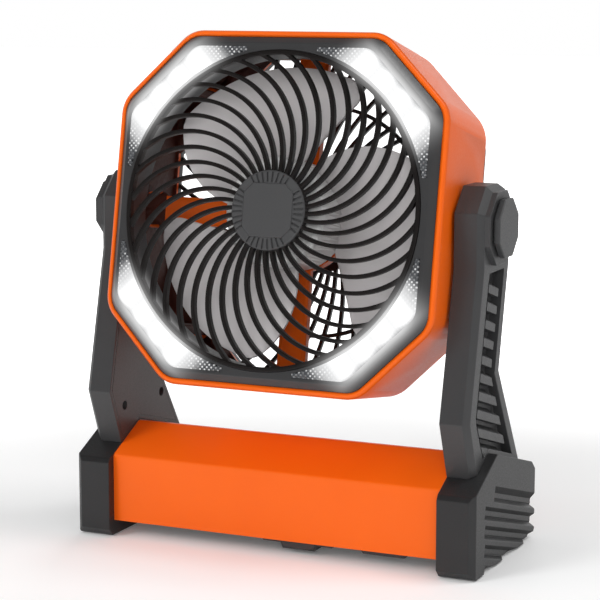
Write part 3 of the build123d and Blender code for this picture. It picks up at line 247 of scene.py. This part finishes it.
def lensMaterial(name):
    material, tree, shader = newMaterial(name, {
        "Base Color": linear(glow["grey"]), "Roughness": glow["roughness"], "IOR": 1.58,
        "Emission Color": white})
    places = cornerPlaces(tree)

    # The white middle, dimmer at the outer edge and a little between the light chips
    middle = addNode(tree, "ShaderNodeMapRange", eased, {
        "Value": places["aside"], "From Min": glow["fadeMm"],
        "From Max": glow["solidMm"]}).outputs["Result"]
    rim = addNode(tree, "ShaderNodeMapRange", eased, {
        "Value": places["outward"], "From Min": glow["edgeMm"], "From Max": glow["outerMm"],
        "To Min": glow["edge"]}).outputs["Result"]
    turns = addNode(tree, "ShaderNodeMath", times, {
        0: places["along"], 1: 2 * pi / glow["chipPitchMm"]}).outputs["Value"]
    chips = addNode(tree, "ShaderNodeMath", {"operation": "COSINE"}, {0: turns}).outputs["Value"]
    blobs = addNode(tree, "ShaderNodeMapRange", {}, {
        "Value": chips, "From Min": -1.0, "To Min": 1.0, "To Max": glow["betweenChips"]}).outputs["Result"]
    lit = addNode(tree, "ShaderNodeMath", times, {0: middle, 1: rim}).outputs["Value"]
    solid = addNode(tree, "ShaderNodeMath", times, {0: lit, 1: blobs}).outputs["Value"]

    # Diamonds in crossing rows, lit unevenly
    rows = []
    for way in ("across", "up"):
        cycle = addNode(tree, "ShaderNodeMath", times, {
            0: places[way], 1: 2 * pi / glow["prismMm"]}).outputs["Value"]
        rows.append(addNode(tree, "ShaderNodeMath", {"operation": "SINE"}, {0: cycle}).outputs["Value"])
    cut = addNode(tree, "ShaderNodeMath", times, {0: rows[0], 1: rows[1]}).outputs["Value"]
    facets = addNode(tree, "ShaderNodeMapRange", eased, {
        "Value": cut, "From Min": glow["prismLow"], "From Max": glow["prismHigh"],
        "To Max": glow["prismStrength"]}).outputs["Result"]
    spots = addNode(tree, "ShaderNodeTexCoord").outputs["Object"]
    cloud = addNode(tree, "ShaderNodeTexNoise", {}, {
        "Vector": spots, "Scale": 1 / (glow["patchMm"] * mm), "Detail": 1.0}).outputs["Fac"]
    uneven = addNode(tree, "ShaderNodeMapRange", eased, {
        "Value": cloud, "From Min": glow["patchLow"], "From Max": glow["patchHigh"],
        "To Min": glow["patchDim"]}).outputs["Result"]
    patchy = addNode(tree, "ShaderNodeMath", times, {0: facets, 1: uneven}).outputs["Value"]

    # They show where the white middle does not, and fade towards the tips
    ends = addNode(tree, "ShaderNodeMapRange", eased, {
        "Value": places["aside"], "From Min": glow["tipMm"], "From Max": glow["fadeMm"],
        "To Min": glow["tip"]}).outputs["Result"]
    dull = addNode(tree, "ShaderNodeMath", {"operation": "SUBTRACT"}, {0: ends, 1: middle}).outputs["Value"]
    sparkle = addNode(tree, "ShaderNodeMath", times, {0: patchy, 1: dull}).outputs["Value"]
    light = addNode(tree, "ShaderNodeMath", {"operation": "MULTIPLY_ADD"}, {
        0: solid, 1: glow["strength"], 2: sparkle}).outputs["Value"]
    tree.links.new(light, shader.inputs["Emission Strength"])
    bump = addNode(tree, "ShaderNodeBump", {}, {
        "Height": cut, "Strength": glow["prismBump"], "Distance": glow["prismDeepMm"] * mm})
    tree.links.new(bump.outputs["Normal"], shader.inputs["Normal"])
    return material


# Painted glare: emission on the dark plastic round the lens edges stands in for the lamps' glare, from none
# to full along each way
paintedGlare = {"radius": (82.0, 91.0), "outward": (110.0, 101.0), "aside": (46.0, 14.0), "forward": (26.0, 43.0)}
paintedGlareFade = 1.6


def paintedGlareMaterial(name, look):
    material, tree, shader = grainedMaterial(name, look, {
        "IOR": 1.53, "Specular IOR Level": look["shine"], "Emission Color": white})
    places = cornerPlaces(tree)
    level = look["glow"]
    for way, (darkMm, brightMm) in paintedGlare.items():
        share = addNode(tree, "ShaderNodeMapRange", eased, {
            "Value": places[way], "From Min": darkMm, "From Max": brightMm}).outputs["Result"]
        faded = addNode(tree, "ShaderNodeMath", {"operation": "POWER"},
                        {0: share, 1: paintedGlareFade}).outputs["Value"]
        level = addNode(tree, "ShaderNodeMath", times, {0: level, 1: faded}).outputs["Value"]
    tree.links.new(level, shader.inputs["Emission Strength"])
    return material


# glow is the strength of the painted glare, an emission that stands in for the lamps' glare on the bezel and
# the ribs
bezelLook = dict(blackLook, colour="#363637", shade="#313132", shine=0.5, glow=0.7)
ribLook = dict(blackLook, colour="#191514", shade="#141110", shine=0.3, glow=0.32)    # a warmer black
ribsPaintedGlare = paintedGlareMaterial("black moulded ABS with painted glare by the lights", ribLook)
bezelPaintedGlare = paintedGlareMaterial("dark grey moulded ABS with painted glare by the lights", bezelLook)
clearLens = lensMaterial("prismatic polycarbonate")

finishes = {
    "orange_plastic": orangeAbs, "charcoal_plastic": charcoalAbs, "black_plastic": blackAbs,
    "grey_smoke_plastic": smokePlastic, "clear_lens": clearLens, "white_chip": lightChip,
    "board_green": boardGreen, "board_white": boardWhite, "steel": zincSteel, "core_steel": coreSteel,
    "magnet": ferrite, "copper_wire": copperWire, "cell_wrap": cellWrap, "rubber": rubberBlack,
    "port_steel": portSteel, "frosted_window": frostedPane,
}
for name, piece in nodes.items():
    piece.data.materials.clear()
    piece.data.materials.append(finishes[slotOf[name]])
nodes["arm_screws"].data.materials[0] = blackSteel
print("materials given")

# "join" makes one face of a flat side's triangles, which only a few of the meshes stand
mergeMm = 0.005
flatAngle = 0.05
mouldingEdges = {"edgeMm": 0.5, "steps": 2, "sharp": 28.0, "smooth": 48.0, "join": False}
softPieces = {
    "head_shell": dict(mouldingEdges, edgeMm=0.0),
    "front_bezel": dict(mouldingEdges, edgeMm=0.4, join=True),
    "front_grille": dict(mouldingEdges, edgeMm=0.45),
    "grille_hub_plate": dict(mouldingEdges, edgeMm=0.2),
    "rear_guard": dict(mouldingEdges, edgeMm=0.4, join=True),
    "impeller": dict(mouldingEdges, edgeMm=0.0, smooth=40.0),
    "base_housing": dict(mouldingEdges, edgeMm=0.0),
    "base_bottom_cover": dict(mouldingEdges, edgeMm=0.0, smooth=25.0),
    "right_foot": dict(mouldingEdges, join=True), "left_foot": dict(mouldingEdges, join=True),
    "right_arm": mouldingEdges, "left_arm": mouldingEdges,
    "right_pivot_cap": dict(mouldingEdges, edgeMm=0.35),
    "left_pivot_cap": dict(mouldingEdges, edgeMm=0.35),
    "port_flap": dict(mouldingEdges, edgeMm=0.4),
}


# A merged copy of a moulding, its sharp edges rounded where the look says so, standing for the CAD node
def softCopy(name, look):
    source = nodes[name]
    piece = source.copy()
    piece.data = source.data.copy()
    piece.name = name + "_soft"
    piece.parent = None
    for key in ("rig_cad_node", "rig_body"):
        del piece[key]
    bpy.context.scene.collection.objects.link(piece)
    bpy.ops.object.select_all(action="DESELECT")
    piece.select_set(True)
    bpy.context.view_layer.objects.active = piece
    bpy.ops.object.mode_set(mode="EDIT")
    bpy.ops.mesh.select_all(action="SELECT")
    bpy.ops.mesh.remove_doubles(threshold=mergeMm * mm)
    if look["join"]:
        bpy.ops.mesh.dissolve_limited(angle_limit=radians(flatAngle))
    bpy.ops.object.mode_set(mode="OBJECT")
    if look["edgeMm"]:
        edges = piece.modifiers.new("edges", "BEVEL")
        edges.width = look["edgeMm"] * mm
        edges.segments = look["steps"]
        edges.limit_method = "ANGLE"
        edges.angle_limit = radians(look["sharp"])
        edges.use_clamp_overlap = False
        bpy.ops.object.modifier_apply(modifier=edges.name)
    bpy.ops.object.shade_smooth_by_angle(angle=radians(look["smooth"]))
    even = piece.modifiers.new("even", "WEIGHTED_NORMAL")
    even.keep_sharp = True
    bpy.ops.object.modifier_apply(modifier=even.name)
    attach(piece, bodyOf[name])
    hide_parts(name)
    return piece


made = {}
for name, look in softPieces.items():
    made[name] = softCopy(name, look)
    print("softened", name, len(made[name].data.polygons))
# The bezel and the grille ribs carry the painted glare round the lenses
made["front_bezel"].data.materials[0] = bezelPaintedGlare
made["front_grille"].data.materials[0] = ribsPaintedGlare
made["grille_hub_plate"].data.materials[0] = hubAbs

# Feet: painted shade, the flanks of their grooves that face down get a matt near-black where shade falls in
# the grooves
footGrooveShade = {"deepMm": 3.2, "fromMm": 8.0, "down": -0.35, "out": 0.3}
for name in ("left_foot", "right_foot"):
    footLow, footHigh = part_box(name)
    grooveFrom = max(abs(footLow[0]), abs(footHigh[0])) - footGrooveShade["deepMm"] * mm
    foot = made[name].data
    foot.materials[0] = footAbs
    foot.materials.append(grooveShadeAbs)
    for face in foot.polygons:
        inGroove = abs(face.center.x) > grooveFrom and face.center.z > footGrooveShade["fromMm"] * mm
        facesDown = face.normal.z < footGrooveShade["down"] and abs(face.normal.x) > footGrooveShade["out"]
        if inGroove and facesDown:
            face.material_index = 1
print("foot grooves tinted")

# Head shell: painted shade, the inner side of its walls and the lip round the duct get a matt dark brown
# where shade falls inside the orange shell
shellShade = {"fromMm": -26.0, "facing": 0.3, "lipFacing": 0.5, "lipMm": 12.0, "lipRadiusMm": 78.0}
wallWays = ((1, 0), (0, 1), (diagonal, diagonal))    # the eight walls, folded onto one corner
shell = made["head_shell"].data
shell.materials.append(insideShadeAbs)
for face in shell.polygons:
    place = toHead @ face.center / mm
    turned = toHead.to_3x3() @ face.normal
    across, up = max(wallWays, key=lambda way: abs(place.x) * way[0] + abs(place.y) * way[1])
    outX = across if place.x > 0 else -across
    outY = up if place.y > 0 else -up
    inward = turned.x * outX + turned.y * outY < -shellShade["facing"]
    wall = inward and place.z > shellShade["fromMm"]
    ahead = turned.z > shellShade["lipFacing"] and place.z < shellShade["lipMm"]
    lip = ahead and Vector((place.x, place.y)).length > shellShade["lipRadiusMm"]
    if wall or lip:
        face.material_index = 1


# Gives the faces round the head's own axis, ahead of a depth, a second material
def tintMiddle(piece, material, look):
    piece.data.materials.append(material)
    for face in piece.data.polygons:
        place = toHead @ face.center / mm
        if place.z > look["fromMm"] and Vector((place.x, place.y)).length < look["radiusMm"]:
            face.material_index = 1


grilleHub = {"radiusMm": 22.5, "fromMm": 43.6}    # grey face of the grille's hub
rotorCap = {"radiusMm": 31.4, "fromMm": 22.0}     # white cap on the impeller
tintMiddle(made["front_grille"], hubAbs, grilleHub)
tintMiddle(made["impeller"], whiteAbs, rotorCap)
print("shell and hubs tinted")

# Lenses: the flat front is inset and raised into a low dome
lensDome = {"insetMm": 1.0, "riseMm": 0.35, "frontMm": 0.05, "facing": 0.99, "smooth": 40.0}
forward = (headPlace.to_3x3() @ Vector((0, 0, 1))).normalized()
for corner in ("top_right", "top_left", "bottom_left", "bottom_right"):
    name = "led_lens_" + corner
    made[name] = softCopy(name, dict(mouldingEdges, edgeMm=0.0))
    lens = made[name].data
    front = max((toHead @ vertex.co).z for vertex in lens.vertices) - lensDome["frontMm"] * mm
    bpy.ops.object.mode_set(mode="EDIT")
    bpy.ops.mesh.select_all(action="DESELECT")
    bpy.ops.object.mode_set(mode="OBJECT")
    for face in lens.polygons:
        facesFront = face.normal.dot(forward) > lensDome["facing"]
        face.select = facesFront and (toHead @ face.center).z > front
    bpy.ops.object.mode_set(mode="EDIT")
    bpy.ops.mesh.select_mode(type="FACE")
    bpy.ops.mesh.inset(thickness=lensDome["insetMm"] * mm)
    bpy.ops.transform.translate(value=forward * lensDome["riseMm"] * mm)
    bpy.ops.object.mode_set(mode="OBJECT")
    bpy.ops.object.shade_smooth_by_angle(angle=radians(lensDome["smooth"]))
print("lenses domed")

# Camera, measured from the photograph against the tilt axis
view = {"azimuth": 24.42, "drop": 8.97, "fromPivotMm": (479.9, -1057.6, 135.5),
        "lens": 123.0, "sensor": 36.0, "nearM": 0.05}
bpy.ops.object.camera_add(location=pivot + Vector(view["fromPivotMm"]) * mm,
                          rotation=(radians(90 - view["drop"]), 0, radians(view["azimuth"])))
camera = bpy.context.object
camera.data.lens = view["lens"]
camera.data.sensor_width = view["sensor"]
camera.data.clip_start = view["nearM"]
bpy.context.scene.camera = camera

# White paper floor. The camera alone sees it lifted a little, and more with distance, into the white backdrop
studio = {"floorM": 14.0, "white": "#FAFAFA", "roughness": 0.8, "nearM": 0.25, "farM": 0.75, "lift": 0.07}
bpy.ops.mesh.primitive_plane_add(size=studio["floorM"])
floor = bpy.context.object
floor.name = "floor"
floorMaterial, floorTree, floorShader = newMaterial("white studio paper", {
    "Base Color": linear(studio["white"]), "Roughness": studio["roughness"]})
floorPlace = addNode(floorTree, "ShaderNodeTexCoord").outputs["Object"]
distance = addNode(floorTree, "ShaderNodeVectorMath", {"operation": "LENGTH"},
                   {0: floorPlace}).outputs["Value"]
far = addNode(floorTree, "ShaderNodeMapRange", eased, {
    "Value": distance, "From Min": studio["nearM"], "From Max": studio["farM"],
    "To Min": studio["lift"]}).outputs["Result"]
floorRays = addNode(floorTree, "ShaderNodeLightPath").outputs["Is Camera Ray"]
farSeen = addNode(floorTree, "ShaderNodeMath", times, {0: far, 1: floorRays}).outputs["Value"]
paper = addNode(floorTree, "ShaderNodeEmission", {}, {"Strength": farSeen}).outputs["Emission"]
sweep = addNode(floorTree, "ShaderNodeAddShader", {}, {0: floorShader.outputs["BSDF"], 1: paper})
floorTree.links.new(sweep.outputs["Shader"], floorTree.nodes["Material Output"].inputs["Surface"])
floor.data.materials.append(floorMaterial)

# Soft studio light: a key from the front left, a fill from the right and one for the back, which leave
# no shine, and a lamp from above
lamps = {
    "keyLeft": {"at": (-0.95, -1.65, 1.15), "size": 0.7, "watts": 14.5, "shine": False},
    "fillRight": {"at": (0.8, -1.75, 0.7), "size": 0.6, "watts": 8.0, "shine": False},
    "softBack": {"at": (-0.3, 1.7, 0.9), "size": 0.8, "watts": 8.0, "shine": False},
    "softTop": {"at": (1.1, 0.3, 2.1), "size": 0.9, "watts": 15.0, "shine": True},
}
for name, lamp in lamps.items():
    at = Vector(lamp["at"])
    aim = (pivot - at).to_track_quat("-Z", "Y").to_euler()
    bpy.ops.object.light_add(type="AREA", location=at, rotation=aim)
    light = bpy.context.object
    light.name = name
    light.data.size = lamp["size"]
    light.data.energy = lamp["watts"]
    light.visible_glossy = lamp["shine"]

# The room: matt faces are lit most from the front. Shiny faces see a white wall behind, with the front and
# the ceiling dark. The camera sees white
room = {"from": (0.0, -0.93, 0.37), "back": 0.10, "front": 0.68, "backAt": -0.5, "frontAt": 0.6,
        "mirrorFront": 0.10, "mirrorFrontAt": -0.5, "mirrorBackAt": 0.35,
        "mirrorCeiling": 0.10, "mirrorCeilingAt": 0.75, "mirrorWallAt": 0.35}
world = bpy.data.worlds.new("studio")
world.use_nodes = True
bpy.context.scene.world = world
roomTree = world.node_tree
rays = addNode(roomTree, "ShaderNodeLightPath").outputs
sky = addNode(roomTree, "ShaderNodeTexCoord").outputs["Generated"]
way = addNode(roomTree, "ShaderNodeSeparateXYZ", {}, {"Vector": sky}).outputs
facing = addNode(roomTree, "ShaderNodeVectorMath", {"operation": "DOT_PRODUCT"},
                 {0: sky, 1: room["from"]}).outputs["Value"]
soft = addNode(roomTree, "ShaderNodeMapRange", eased, {
    "Value": facing, "From Min": room["backAt"], "From Max": room["frontAt"],
    "To Min": room["back"], "To Max": room["front"]}).outputs["Result"]
behind = addNode(roomTree, "ShaderNodeMapRange", eased, {
    "Value": way["Y"], "From Min": room["mirrorFrontAt"], "From Max": room["mirrorBackAt"],
    "To Min": room["mirrorFront"]}).outputs["Result"]
below = addNode(roomTree, "ShaderNodeMapRange", eased, {
    "Value": way["Z"], "From Min": room["mirrorCeilingAt"], "From Max": room["mirrorWallAt"],
    "To Min": room["mirrorCeiling"]}).outputs["Result"]
mirrored = addNode(roomTree, "ShaderNodeMath", times, {0: behind, 1: below}).outputs["Value"]
unseen = addNode(roomTree, "ShaderNodeMix", {"data_type": "FLOAT"},
                 {0: rays["Is Glossy Ray"], 2: soft, 3: mirrored}).outputs[0]
seen = addNode(roomTree, "ShaderNodeMath", {"operation": "MAXIMUM"},
               {0: rays["Is Camera Ray"], 1: rays["Is Transmission Ray"]}).outputs["Value"]
strength = addNode(roomTree, "ShaderNodeMix", {"data_type": "FLOAT"}, {0: seen, 2: unseen, 3: 1.0})
world.cycles.sampling_method = "NONE"    # each ray sees the room that is meant for it
backdrop = roomTree.nodes["Background"]
backdrop.inputs["Color"].default_value = white
roomTree.links.new(strength.outputs[0], backdrop.inputs["Strength"])
bpy.context.scene.view_settings.view_transform = "Standard"
print("camera, floor and light set")
